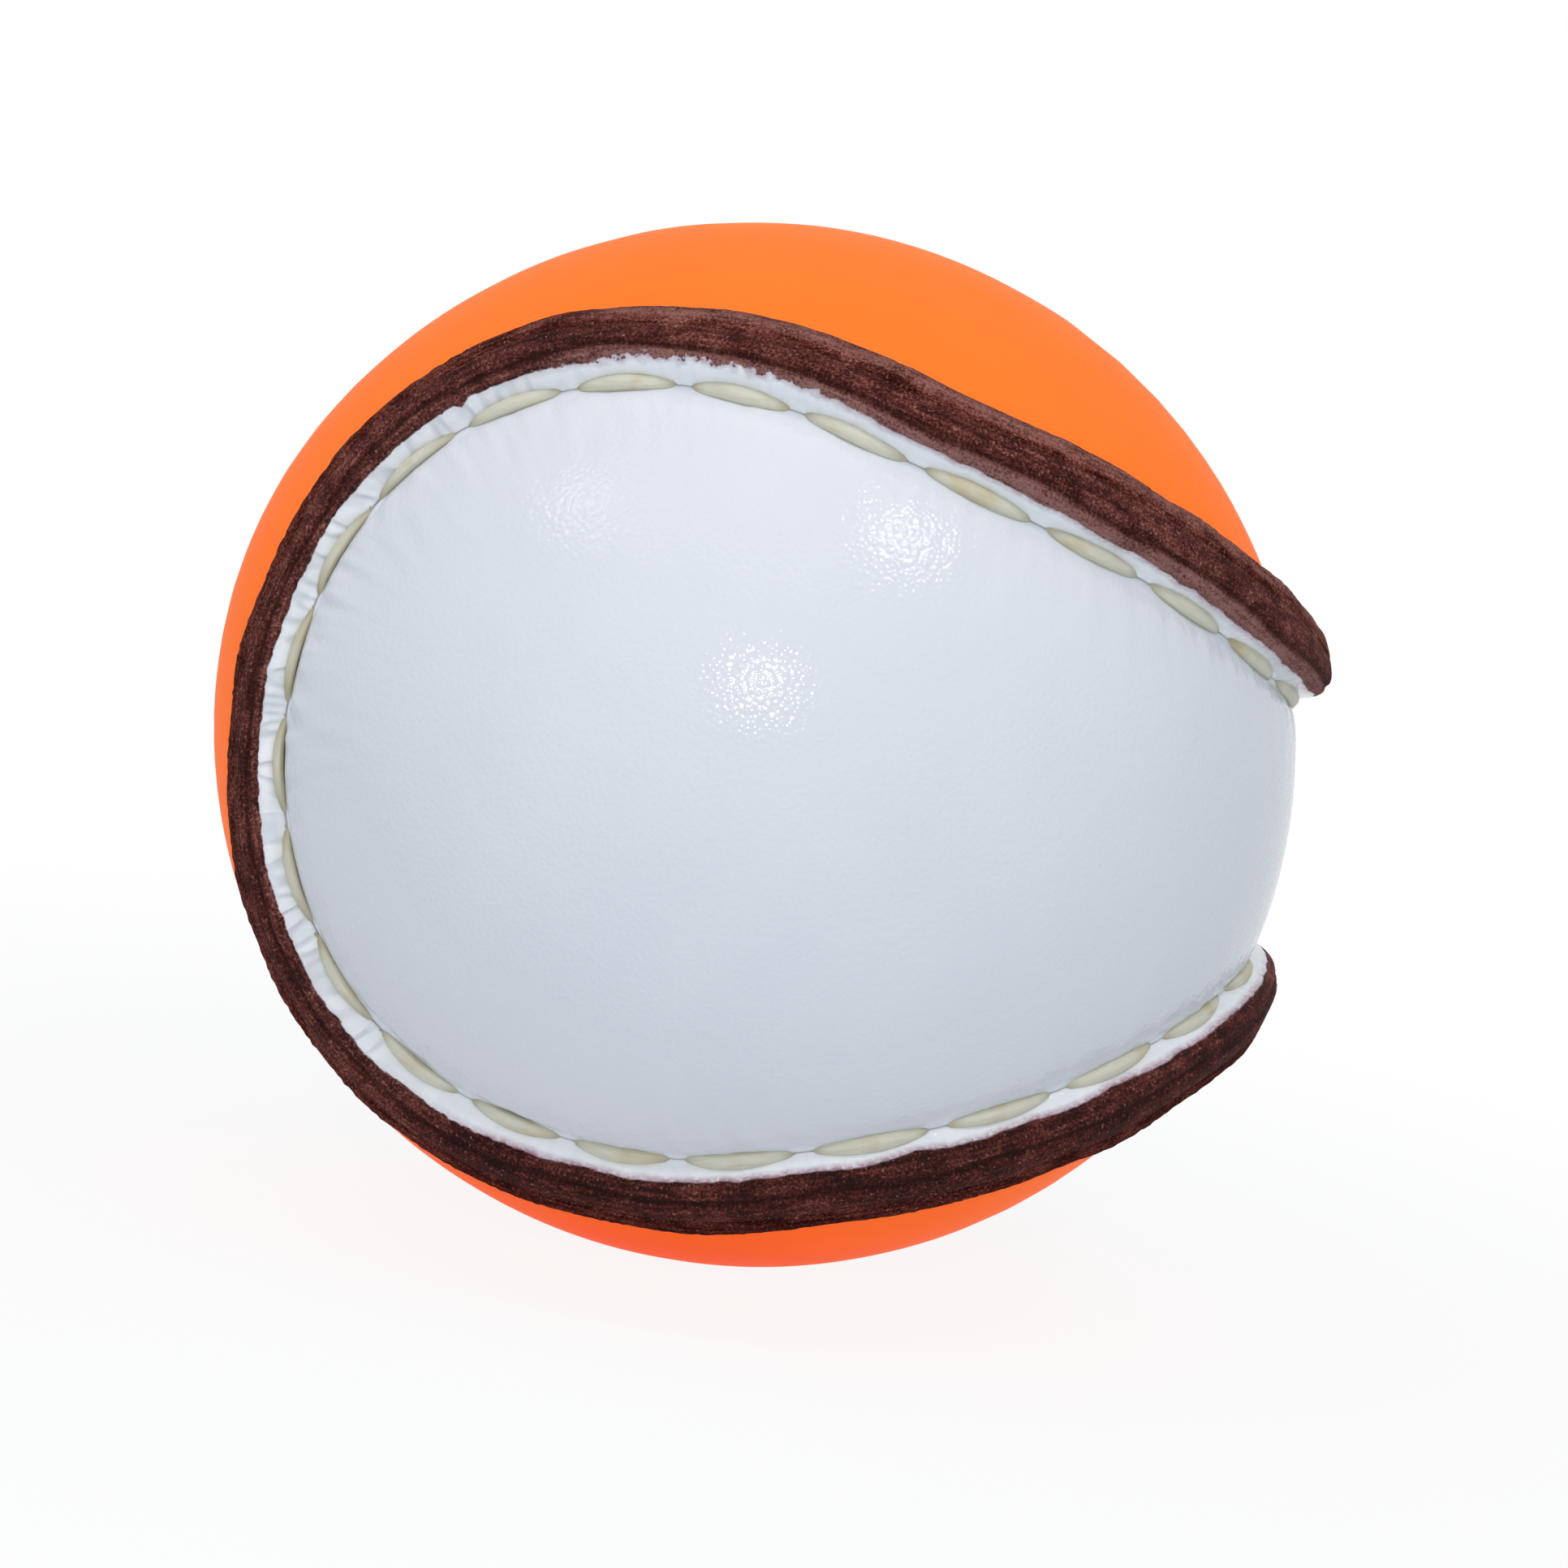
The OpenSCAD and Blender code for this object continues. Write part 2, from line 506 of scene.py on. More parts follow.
def read_points(mesh: bpy.types.Mesh) -> np.ndarray:
    """Reads a mesh's vertices.

    Args:
        mesh: The mesh.

    Returns:
        One row of coordinates for each vertex.
    """
    flat = np.empty(len(mesh.vertices) * 3, np.float32)
    mesh.vertices.foreach_get("co", flat)
    return flat.reshape(-1, 3).astype(float)


def write_points(mesh: bpy.types.Mesh, points: np.ndarray) -> None:
    """Writes rows of coordinates to a mesh's vertices."""
    mesh.vertices.foreach_set("co", points.astype(np.float32).ravel())
    mesh.update()


def read_attribute(mesh: bpy.types.Mesh, name: str) -> np.ndarray:
    """Reads one stored number for each vertex.

    Args:
        mesh: The mesh.
        name: The attribute that holds the numbers.

    Returns:
        The numbers.
    """
    values = np.empty(len(mesh.vertices), np.float32)
    mesh.attributes[name].data.foreach_get("value", values)
    return values.astype(float)


def write_attribute(mesh: bpy.types.Mesh, name: str, values: np.ndarray) -> None:
    """Stores one number for each vertex under a name that materials read."""
    layer = mesh.attributes.get(name) or mesh.attributes.new(name, "FLOAT", "POINT")
    layer.data.foreach_set("value", values.astype(np.float32))


@dataclass(frozen=True)
class CoatedLeather:
    """Cowhide with a smooth sprayed coat outside and a cut edge that is brushed with dark brown dye.

    The coat gives a soft gloss that its pebbled grain breaks into specks, with small folds where the
    upturned edge is gathered; the folds carry painted shade, and the upturned edge a painted lighter tone,
    as if it caught more light. The cut edge has no coat: its loose fibres take the dye unevenly and look
    matt, and a little dye bleeds into the coat beside it. The crease by the stitches is painted darker,
    partly soil and partly painted shade. A fluorescent pigment sends back more red light than it gets; a
    faint glow, which is painted light, stands in for it and also keeps the shaded underside bright. Real
    fibres are some 0.02 mm thick, too fine to show, so fibre_mm, speck_mm and bleed_mm are as coarse as
    they need to be.
    """

    name: str
    coat: str
    coat_shade: str
    # Lighter coat on the upturned edge: painted light, as if the edge caught more light.
    coat_painted_light: str
    coat_roughness: float
    gloss: float = 0.2
    ior: float = 1.48
    # Strength and colour of a glow that is painted light: it stands in for the fluorescent pigment and lifts
    # the shaded coat.
    painted_glow: float = 0.0
    glow: str = "#ff4a00"
    pebble_mm: float = 0.32
    pebble_height_mm: float = 0.027
    cloud_mm: float = 9.0
    folds_per_mm: float = 0.85
    fold_height_mm: float = 0.3
    dye_dark: str = "#220806"
    dye_mid: str = "#6a2f27"
    dye_light: str = "#a96c60"
    dye_thin: str = "#a97b75"
    dye_tones: tuple[float, float, float] = (0.69, 0.8, 0.94)
    dense_tone: float = 0.735
    dye_roughness: float = 0.92
    dye_fade_mm: float = 0.06
    speck: str = "#b39c8c"
    speck_mm: float = 0.17
    bleed: str = "#a87b8c"
    bleed_mm: float = 0.3
    # Colour in the crease by the stitches: partly soil, partly painted shade.
    soil_and_shade: str = "#5e5338"
    # Colour of painted shade in the small folds of the upturned edge.
    fold_shade: str = "#9aa3b0"
    fibre_mm: float = 0.17
    fibre_height_mm: float = 0.16
    streak_mm: float = 0.3
    blotch_mm: float = 1.9
    ragged_mm: float = 0.42
    patch_mm: float = 0.6

    def material(self) -> bpy.types.Material:
        """Builds the leather's node material.

        Returns:
            The material, which reads the marks that a panel stores on its mesh.
        """
        made, tree = new_material(self.name)
        given = {"spot": add_node(tree, "TexCoord").outputs["Object"]}
        for mark in LEATHER_MARKS:
            given[mark] = add_node(tree, "Attribute", attribute_name=mark).outputs["Fac"]
        loose = {"Scale": 1000 / self.fibre_mm, "Detail": 5.0, "Roughness": 0.75, "Distortion": 0.25}
        given["fibre"] = add_node(tree, "TexNoise", {"Vector": given["spot"], **loose}).outputs["Fac"]
        given["edge_gap"] = self.ragged_gap(tree, given)
        given["folds"] = self.pleat_folds(tree, given)
        dyed = add_node(
            tree,
            "MapRange",
            {"Value": given["edge_gap"], "From Min": self.dye_fade_mm, "From Max": -self.dye_fade_mm},
            interpolation_type="SMOOTHSTEP",
        ).outputs["Result"]
        faces = {"Factor": dyed, 6: self.coat_colour(tree, given), 7: self.dyed_edge(tree, given)}
        colour = add_node(tree, "Mix", faces, data_type="RGBA").outputs[2]
        rough = {"Value": dyed, "To Min": self.coat_roughness, "To Max": self.dye_roughness}
        height = self.surface_height(tree, given, dyed)
        skin = {
            "Base Color": colour,
            "Roughness": add_node(tree, "MapRange", rough).outputs["Result"],
            "IOR": self.ior,
            "Specular IOR Level": self.gloss,
            "Normal": add_node(tree, "Bump", {"Height": height, "Distance": METRES}).outputs["Normal"],
        }
        # The coat's glow is painted light, standing in for the fluorescent pigment and lifting its shaded
        # parts; the dyed edge gets none.
        if self.painted_glow:
            lit = {"Factor": dyed, 6: linear(self.glow), 7: linear("#000000")}
            skin["Emission Color"] = add_node(tree, "Mix", lit, data_type="RGBA").outputs[2]
            skin["Emission Strength"] = self.painted_glow
        shader = add_node(tree, "BsdfPrincipled", skin)
        add_node(tree, "OutputMaterial", {"Surface": shader.outputs["BSDF"]})
        return made

    def surface_height(
        self, tree: bpy.types.NodeTree, given: Sockets, dyed: bpy.types.NodeSocket
    ) -> bpy.types.NodeSocket:
        """Raises the surface: pebbles and sunk folds in the coat, loose fibres on the dyed edge.

        Args:
            tree: The material's node tree.
            given: The coordinates, marks and patterns, by name.
            dyed: Where the leather is dyed.

        Returns:
            A socket with the height in millimetres.
        """
        grain = {"Vector": given["spot"], "Scale": 1000 / self.pebble_mm, "Smoothness": 0.5}
        pebble = add_node(tree, "TexVoronoi", grain, feature="SMOOTH_F1").outputs["Distance"]
        deep = {0: given["folds"], 1: self.fold_height_mm / self.pebble_height_mm, 2: pebble}
        sunk = add_node(tree, "Math", deep, operation="MULTIPLY_ADD").outputs[0]
        coat = add_node(tree, "Math", {0: sunk, 1: -self.pebble_height_mm}, operation="MULTIPLY")
        edge = add_node(tree, "Math", {0: given["fibre"], 1: self.fibre_height_mm}, operation="MULTIPLY")
        heights = {"Factor": dyed, 2: coat.outputs[0], 3: edge.outputs[0]}
        return add_node(tree, "Mix", heights, data_type="FLOAT").outputs[0]

    def pleat_folds(self, tree: bpy.types.NodeTree, given: Sockets) -> bpy.types.NodeSocket:
        """Draws the small soft folds across the gathered upturned edge, which sink the coat and carry painted
        shade.

        Args:
            tree: The material's node tree.
            given: The coordinates and marks, by name.

        Returns:
            A socket with the folds' strength.
        """
        drawn = add_node(tree, "Math", {0: given["across"], 1: 0.22}, operation="MULTIPLY").outputs[0]
        lay = add_node(tree, "CombineXYZ", {"X": given["along"], "Y": drawn}).outputs["Vector"]
        size = {"Vector": lay, "Scale": self.folds_per_mm, "Detail": 0.0}
        waves = add_node(tree, "TexNoise", size).outputs["Fac"]
        gap = add_node(tree, "Math", {0: waves, 1: 0.5}, operation="SUBTRACT").outputs[0]
        near = add_node(tree, "Math", {0: gap}, operation="ABSOLUTE").outputs[0]
        narrow = {"Value": near, "From Min": 0.14, "From Max": 0.0}
        fold = add_node(tree, "MapRange", narrow, interpolation_type="SMOOTHSTEP").outputs["Result"]
        return add_node(tree, "Math", {0: fold, 1: given["pleated"]}, operation="MULTIPLY").outputs[0]

    def ragged_gap(self, tree: bpy.types.NodeTree, given: Sockets) -> bpy.types.NodeSocket:
        """Gives the distance past the end of the dye, made ragged by the brush and the grain.

        Args:
            tree: The material's node tree.
            given: The coordinates and marks, by name.

        Returns:
            A socket with millimetres, negative where the leather is dyed.
        """
        patch = {"Scale": 1000 / self.patch_mm, "Detail": 4.0, "Roughness": 0.65}
        patches = add_node(tree, "TexNoise", {"Vector": given["spot"], **patch}).outputs["Fac"]
        swing = add_node(tree, "Math", {0: patches, 1: 0.5}, operation="SUBTRACT").outputs[0]
        wide = {"Value": given["flaking"], "To Min": self.ragged_mm, "To Max": 5 * self.ragged_mm}
        reach = add_node(tree, "MapRange", wide).outputs["Result"]
        torn = {0: swing, 1: reach, 2: given["dye_gap"]}
        return add_node(tree, "Math", torn, operation="MULTIPLY_ADD").outputs[0]

    def dyed_edge(self, tree: bpy.types.NodeTree, given: Sockets) -> bpy.types.NodeSocket:
        """Colours the dyed edge: three browns among the fibres, paler where the dye runs thin.

        Args:
            tree: The material's node tree.
            given: The coordinates, marks and patterns, by name.

        Returns:
            A socket with the brown.
        """
        spread = {"Scale": 1000 / self.blotch_mm, "Detail": 3.0, "Roughness": 0.6}
        blotch = add_node(tree, "TexNoise", {"Vector": given["spot"], **spread}).outputs["Fac"]
        drawn = add_node(tree, "Math", {0: given["along"], 1: 0.1}, operation="MULTIPLY").outputs[0]
        lay = add_node(tree, "CombineXYZ", {"X": drawn, "Y": given["across"]}).outputs["Vector"]
        stroke = {"Vector": lay, "Scale": 1 / self.streak_mm, "Detail": 2.0}
        streak = add_node(tree, "TexNoise", stroke).outputs["Fac"]
        uneven = add_node(tree, "Math", {0: blotch, 1: streak}, operation="ADD").outputs[0]
        taken_up = {0: uneven, 1: 0.35, 2: given["fibre"]}
        mixed = add_node(tree, "Math", taken_up, operation="MULTIPLY_ADD").outputs[0]
        soaked = {0: given["dense"], 1: -0.16, 2: mixed}
        sunk = add_node(tree, "Math", soaked, operation="MULTIPLY_ADD").outputs[0]
        even = add_node(tree, "Math", {0: given["dense"], 1: 0.4}, operation="MULTIPLY").outputs[0]
        calm = {"Factor": even, 2: sunk, 3: self.dense_tone}
        tone = add_node(tree, "Mix", calm, data_type="FLOAT").outputs[0]
        browns = add_node(tree, "ValToRGB", {"Fac": tone})
        stops = browns.color_ramp.elements
        dark, middle, light = self.dye_tones
        stops[0].position, stops[0].color = dark, linear(self.dye_dark)
        stops[1].position, stops[1].color = light, linear(self.dye_light)
        stops.new(middle).color = linear(self.dye_mid)
        open_fibre = {"Value": tone, "From Min": 0.72, "From Max": 0.93, "To Min": 0.22}
        taken = add_node(tree, "MapRange", open_fibre).outputs["Result"]
        thin = add_node(tree, "Math", {0: taken, 1: given["thinness"]}, operation="MULTIPLY").outputs[0]
        small = {"Vector": given["spot"], "Scale": 1000 / self.speck_mm, "Detail": 0.0}
        bits = add_node(tree, "TexNoise", small).outputs["Fac"]
        bare = {"Value": bits, "From Min": 0.74, "From Max": 0.84, "To Max": 0.45}
        specks = add_node(tree, "MapRange", bare).outputs["Result"]
        colour = browns.outputs["Color"]
        for share, tint in ((thin, self.dye_thin), (specks, self.speck), (given["groove"], self.dye_dark)):
            layer = {"Factor": share, 6: colour, 7: linear(tint)}
            colour = add_node(tree, "Mix", layer, data_type="RGBA").outputs[2]
        return colour

    def coat_colour(self, tree: bpy.types.NodeTree, given: Sockets) -> bpy.types.NodeSocket:
        """Colours the coat: faint clouds, painted light on the upturned edge, painted shade in its folds, dye
        that bled, and soil with painted shade in the crease.

        Args:
            tree: The material's node tree.
            given: The coordinates, marks and patterns, by name.

        Returns:
            A socket with the coat's colour.
        """
        cloudy = {"Vector": given["spot"], "Scale": 1000 / self.cloud_mm, "Detail": 2.0}
        clouds = add_node(tree, "TexNoise", cloudy).outputs["Fac"]
        beside = {"Value": given["edge_gap"], "From Min": 0.55, "From Max": 0.1}
        near_dye = add_node(tree, "MapRange", beside).outputs["Result"]
        small = {"Vector": given["spot"], "Scale": 1000 / self.bleed_mm, "Detail": 3.0}
        bits = add_node(tree, "TexNoise", small).outputs["Fac"]
        dots = {"Value": bits, "From Min": 0.3, "From Max": 0.62, "To Min": 0.3}
        spotty = add_node(tree, "MapRange", dots).outputs["Result"]
        reached = add_node(tree, "Math", {0: near_dye, 1: given["bleed"]}, operation="MULTIPLY").outputs[0]
        stain = add_node(tree, "Math", {0: reached, 1: spotty}, operation="MULTIPLY").outputs[0]
        layers = (
            (clouds, self.coat_shade),
            # Painted light: the upturned edge made lighter, as if it caught more light.
            (given["fresh"], self.coat_painted_light),
            # Painted shade in the folds of the upturned edge.
            (given["folds"], self.fold_shade),
            (stain, self.bleed),
            # Soil and painted shade in the crease.
            (given["soil_and_shade"], self.soil_and_shade),
        )
        colour = linear(self.coat)
        for share, tint in layers:
            layer = {"Factor": share, 6: colour, 7: linear(tint)}
            colour = add_node(tree, "Mix", layer, data_type="RGBA").outputs[2]
        return colour


@dataclass(frozen=True)
class WaxedThread:
    """Cream cotton thread drawn through wax: smooth, a little glossy, with fine fibres along it.

    The wax yellows in patches. The thread is painted darker where it thins into the holes and on its
    underside, partly soil and partly painted shade. Real fibres are some 0.02 mm thick, so strand_mm is
    as coarse as it needs to be to show.
    """

    name: str = "waxed_cotton_thread"
    cream: str = "#e7e5d7"
    shade: str = "#cac5ac"
    stain: str = "#c4ad74"
    # Colour where the thread sinks in and on its underside: partly soil, partly painted shade.
    soil_and_shade: str = "#8a7d55"
    roughness: float = 0.5
    ior: float = 1.45
    strand_mm: float = 0.22
    strand_height_mm: float = 0.09
    stain_mm: float = 2.5

    def material(self) -> bpy.types.Material:
        """Builds the thread's node material.

        Returns:
            The material, which reads the marks that a thread stores on its mesh.
        """
        made, tree = new_material(self.name)
        marks = ("along", "around", "soil_and_shade")
        given = {mark: add_node(tree, "Attribute", attribute_name=mark).outputs["Fac"] for mark in marks}
        drawn = add_node(tree, "Math", {0: given["along"], 1: 0.12}, operation="MULTIPLY").outputs[0]
        lay = add_node(tree, "CombineXYZ", {"X": drawn, "Y": given["around"]}).outputs["Vector"]
        twist = {"Vector": lay, "Scale": 1 / self.strand_mm, "Detail": 3.0, "Roughness": 0.6}
        strands = add_node(tree, "TexNoise", twist).outputs["Fac"]
        spot = add_node(tree, "TexCoord").outputs["Object"]
        wide = {"Vector": spot, "Scale": 1000 / self.stain_mm}
        patches = add_node(tree, "TexNoise", wide).outputs["Fac"]
        yellowed = {"Value": patches, "From Min": 0.52, "From Max": 0.75, "To Max": 0.6}
        stains = add_node(tree, "MapRange", yellowed).outputs["Result"]
        colour = linear(self.cream)
        # Soil and painted shade at the holes and under the thread.
        for share, tint in ((strands, self.shade), (stains, self.stain), (given["soil_and_shade"], self.soil_and_shade)):
            layer = {"Factor": share, 6: colour, 7: linear(tint)}
            colour = add_node(tree, "Mix", layer, data_type="RGBA").outputs[2]
        raised = {0: strands, 1: self.strand_height_mm}
        height = add_node(tree, "Math", raised, operation="MULTIPLY").outputs[0]
        wax = {
            "Base Color": colour,
            "Roughness": self.roughness,
            "IOR": self.ior,
            "Normal": add_node(tree, "Bump", {"Height": height, "Distance": METRES}).outputs["Normal"],
        }
        shader = add_node(tree, "BsdfPrincipled", wax)
        add_node(tree, "OutputMaterial", {"Surface": shader.outputs["BSDF"]})
        return made


@dataclass(frozen=True)
class CoreStuff:
    """A matt natural material of the core: pressed cork granules or spun wool yarn, mottled at its grain."""

    name: str
    light: str
    dark: str
    grain_mm: float
    stretch: float = 1.0
    grain_height_mm: float = 0.2
    roughness: float = 0.9

    def material(self) -> bpy.types.Material:
        """Builds the core material.

        Returns:
            The material, with cells for cork that a stretch draws out into strands for yarn.
        """
        made, tree = new_material(self.name)
        spot = add_node(tree, "TexCoord").outputs["Object"]
        pull = {"Vector": spot, "Scale": (1.0, 1.0, self.stretch)}
        drawn = add_node(tree, "Mapping", pull).outputs["Vector"]
        grain = {"Vector": drawn, "Scale": 1000 / self.grain_mm}
        cells = add_node(tree, "TexVoronoi", grain).outputs["Distance"]
        mottled = {"Factor": cells, 6: linear(self.light), 7: linear(self.dark)}
        raised = {"Height": cells, "Distance": self.grain_height_mm * METRES}
        matt = {
            "Base Color": add_node(tree, "Mix", mottled, data_type="RGBA").outputs[2],
            "Roughness": self.roughness,
            "Normal": add_node(tree, "Bump", raised).outputs["Normal"],
        }
        shader = add_node(tree, "BsdfPrincipled", matt)
        add_node(tree, "OutputMaterial", {"Surface": shader.outputs["BSDF"]})
        return made


@dataclass
class LeatherPanel:
    """One of the two dumb-bell panels, with its edge turned up into its half of the ridge."""

    panel: Panel
    profile: EdgeProfile
    finish: CoatedLeather
    node: str
    slot: str
    steps: int = 312
    dye_line: float = 2.8
    notch: float = 229.2
    pressed_line: float = 1.6
    line_half: float = 0.24
    hole_close: float = 0.3
    hole_draw: float = 0.1
    pleat_count: int = 150
    wrinkle: float = 0.045
    fold_depth: float = 0.2
    # Folds beside the crease: middle along the seam, half-length, distance past the crease.
    folds: tuple[tuple[float, float, float], ...] = ((278.8, 3.2, 0.95), (288.6, 2.4, 0.9))
    # Stretches of the seam, from start to end, where the edge looks different.
    upper: tuple[float, float] = (148, 222)
    tip: tuple[float, float] = (219, 288)
    lower: tuple[float, float] = (286, 346)
    gathered: tuple[float, float] = (224, 280)
    pleated: tuple[float, float] = (222, 282)
    flaked: tuple[float, float] = (205, 221)
    open_holes: tuple[float, float] = (232, 280)
    weld_mm: float = 0.003

    def build(self) -> bpy.types.Object:
        """Builds the panel as one closed shell, works the leather and dresses it.

        Returns:
            The finished piece.
        """
        mesh = self.shell()
        self.work_leather(mesh)
        piece = place_piece(mesh, f"{self.node}_leather", self.finish.material())
        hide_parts(self.node)
        return piece

    def shell(self) -> bpy.types.Mesh:
        """Spins the section round the lobes and the waist and welds the sweeps into one closed shell.

        Returns:
            The mesh, with the distance across the section stored on each vertex.
        """
        own, other, own_flip, other_flip = (
            (0, 1, "Y", "Z") if self.panel is Panel.WHITE else (1, 0, "Z", "Y")
        )
        bm = bmesh.new()
        bm.verts.layers.float.new("across")
        waist = self.sweep(bm, other, outward=True)
        cut = Vector((0, 0, 1)) if other_flip == "Z" else Vector((0, 1, 0))
        bmesh.ops.bisect_plane(
            bm, geom=waist, dist=1e-5, plane_co=(0, 0, 0), plane_no=cut, clear_inner=True
        )
        self.mirror(bm, bm.verts[:] + bm.edges[:] + bm.faces[:], other_flip)
        lobe = self.sweep(bm, own, outward=False)
        self.mirror(bm, lobe, own_flip)
        bmesh.ops.remove_doubles(bm, verts=bm.verts, dist=self.weld_mm)
        bmesh.ops.dissolve_degenerate(bm, edges=bm.edges, dist=1e-5)
        bmesh.ops.recalc_face_normals(bm, faces=bm.faces)
        mesh = bpy.data.meshes.new(f"{self.node}_leather")
        bm.to_mesh(mesh)
        bm.free()
        return mesh

    def sweep(self, bm: bmesh.types.BMesh, number: int, outward: bool) -> list:
        """Spins the section round one lobe's axis over the length of its arc.

        Args:
            bm: The bmesh that gets the sweep.
            number: The lobe.
            outward: Whether the panel lies outside that lobe, as its waist does.

        Returns:
            The new vertices, edges and faces.
        """
        seam = self.profile.seam
        across = bm.verts.layers.float["across"]
        known = set(bm.verts)
        axis, middle, travel = seam.lobe(number)
        start = math.cos(-seam.arc_half) * middle + math.sin(-seam.arc_half) * travel
        outer, inner = self.profile.outer(), self.profile.inner()
        ring = []
        for (depth, rise), gone in zip(
            np.concatenate([outer, inner]), list(self.profile.across) + [-1.0] * len(inner)
        ):
            polar = seam.lobe_angle + (depth if outward else -depth) / seam.ball_r
            corner = bm.verts.new((seam.ball_r + rise) * (math.cos(polar) * axis + math.sin(polar) * start))
            corner[across] = gone
            ring.append(corner)
        poles = {ring[len(outer) - 1], ring[len(outer)]}
        pairs = zip(ring, ring[1:] + ring[:1])
        edges = [bm.edges.new((a, b)) for a, b in pairs if {a, b} != poles]
        turn = 2 * seam.arc_half * (1 if axis.cross(middle).dot(travel) > 0 else -1)
        bmesh.ops.spin(bm, geom=ring + edges, cent=(0, 0, 0), axis=axis, angle=turn, steps=self.steps)
        fresh = [v for v in bm.verts if v not in known]
        new_edges = dict.fromkeys(e for v in fresh for e in v.link_edges)
        new_faces = dict.fromkeys(f for v in fresh for f in v.link_faces)
        return [*fresh, *new_edges, *new_faces]

    @staticmethod
    def mirror(bm: bmesh.types.BMesh, geom: list, flip: str) -> None:
        """Copies geometry to the other side of the plane across an axis.

        Args:
            bm: The bmesh that holds it.
            geom: The vertices, edges and faces to copy.
            flip: The axis, X, Y or Z.
        """
        copy = bmesh.ops.duplicate(bm, geom=geom)["geom"]
        corners = [g for g in copy if isinstance(g, bmesh.types.BMVert)]
        scale = Vector([-1 if name == flip else 1 for name in "XYZ"])
        bmesh.ops.scale(bm, vec=scale, verts=corners)

    def work_leather(self, mesh: bpy.types.Mesh) -> None:
        """Moves the leather as sewing does: drawn in at the holes, pleated, puckered and uneven.

        Args:
            mesh: The shell, which also gets the marks that its material reads.
        """
        seam, profile = self.profile.seam, self.profile
        points = read_points(mesh)
        across = read_attribute(mesh, "across")
        place, side = seam.of(points, self.panel)
        depth = np.abs(side)
        rise = np.linalg.norm(points, axis=1) - seam.ball_r
        outside = across >= 0
        crease = profile.crease_across
        grown = seam.growth(place) - 1
        ridge = smoothstep(crease + 0.3, crease - 0.7, across) * outside
        rise = rise + ridge * np.maximum(rise, 0) * grown
        edge = hump(depth, 0, 9.0) * np.minimum(depth, profile.half_w)
        depth = depth + edge * profile.width_growth * grown

        push = sum(
            shaped(place, across)
            for shaped in (self.stitch_pull, self.pleats, self.puckers, self.top_wear, self.edge_line)
        )
        table = profile.normals()
        depth = depth + push * np.interp(across, profile.across, table[:, 0]) * outside
        rise = rise + push * np.interp(across, profile.across, table[:, 1]) * outside
        write_points(mesh, seam.at(place, depth * self.panel.value, rise))
        self.mark(mesh, place, across)

    def mark(self, mesh: bpy.types.Mesh, place: np.ndarray, across: np.ndarray) -> None:
        """Stores the marks that the leather's material reads.

        Args:
            mesh: The worked shell.
            place: Distance of each vertex along the seam.
            across: Its distance across the section, negative on the inside.
        """
        seam, crease = self.profile.seam, self.profile.crease_across
        white = self.panel is Panel.WHITE
        outside = across >= 0
        line = self.line_at(place)
        upper, tip, lower = (seam.zone(place, *reach) for reach in (self.upper, self.tip, self.lower))
        if white:
            pressed = 0.75
            beside = smoothstep(0.1, 0.45, across - line)
            between = smoothstep(line + 0.2, line - 0.2, across)
        else:
            pressed = 0.15
            beside = 0.55 * smoothstep(0.25, 0.9, across)
            between = hump(across, 0, 0.5)
        dark = 0.05 * hump(across, 0, 0.25) + pressed * hump(across, line, self.line_half)
        drawn = 0.05 + 0.27 * seam.zone(place, *self.gathered)
        marks = {
            "along": place,
            "dye_gap": np.where(outside, across - self.dye_end(place), 5.0),
            "groove": dark * outside,
            # soil: the crease darkened, partly soil and partly painted shade.
            "soil_and_shade": 0.8 * hump(across, crease, 0.16) * outside,
            # fresh: painted light, the upturned edge made lighter as if it caught more light.
            "fresh": smoothstep(crease + 0.1, crease - 0.3, across) * outside,
            "pleated": drawn * hump(across, crease - 1.1, 1.3) * (across < crease) * outside,
            "flaking": seam.zone(place, *self.flaked) * white,
            "thinness": (0.35 + 0.55 * upper - 0.2 * tip - 0.3 * lower) * beside,
            "dense": 0.06 + 0.34 * upper * between + 0.36 * tip + 0.62 * lower,
            "bleed": (0.2 + 0.5 * upper + 0.8 * lower) * white,
        }
        for name, values in marks.items():
            write_attribute(mesh, name, values)

    def dye_end(self, place: np.ndarray) -> np.ndarray:
        """Finds where the dye stops, further down at the waist and at the torn spot.

        Args:
            place: Distances along the seam.

        Returns:
            Distances across the section.
        """
        seam = self.profile.seam
        low = 0.4 * seam.near(place, 176, 16) + 0.35 * seam.near(place, 322, 22)
        high = 0.45 * seam.near(place, 212, 9) + 0.15 * seam.near(place, 2.5 * seam.arc_length, 30)
        uneven = 0.05 * seam.ripple(place, 7.0, 31) + 0.02 * seam.ripple(place, 2.2, 32)
        torn = 0.5 * seam.near(place, self.notch, 0.24)
        return self.dye_line + low - high + uneven + torn

    def line_at(self, place: np.ndarray) -> np.ndarray:
        """Finds the dark line pressed in beside the joint.

        Args:
            place: Distances along the seam.

        Returns:
            Distances across the section.
        """
        seam = self.profile.seam
        low = 0.35 * seam.near(place, 180, 28)
        return self.pressed_line + low + 0.08 * seam.ripple(place, 13.0, 35 + self.panel.value)

    def edge_line(self, place: np.ndarray, across: np.ndarray) -> np.ndarray:
        """Gives the shallow line that the edge iron leaves along the cut edge."""
        deep = 0.18 if self.panel is Panel.WHITE else 0.05
        return -deep * hump(across, self.line_at(place), self.line_half) * (across >= 0)

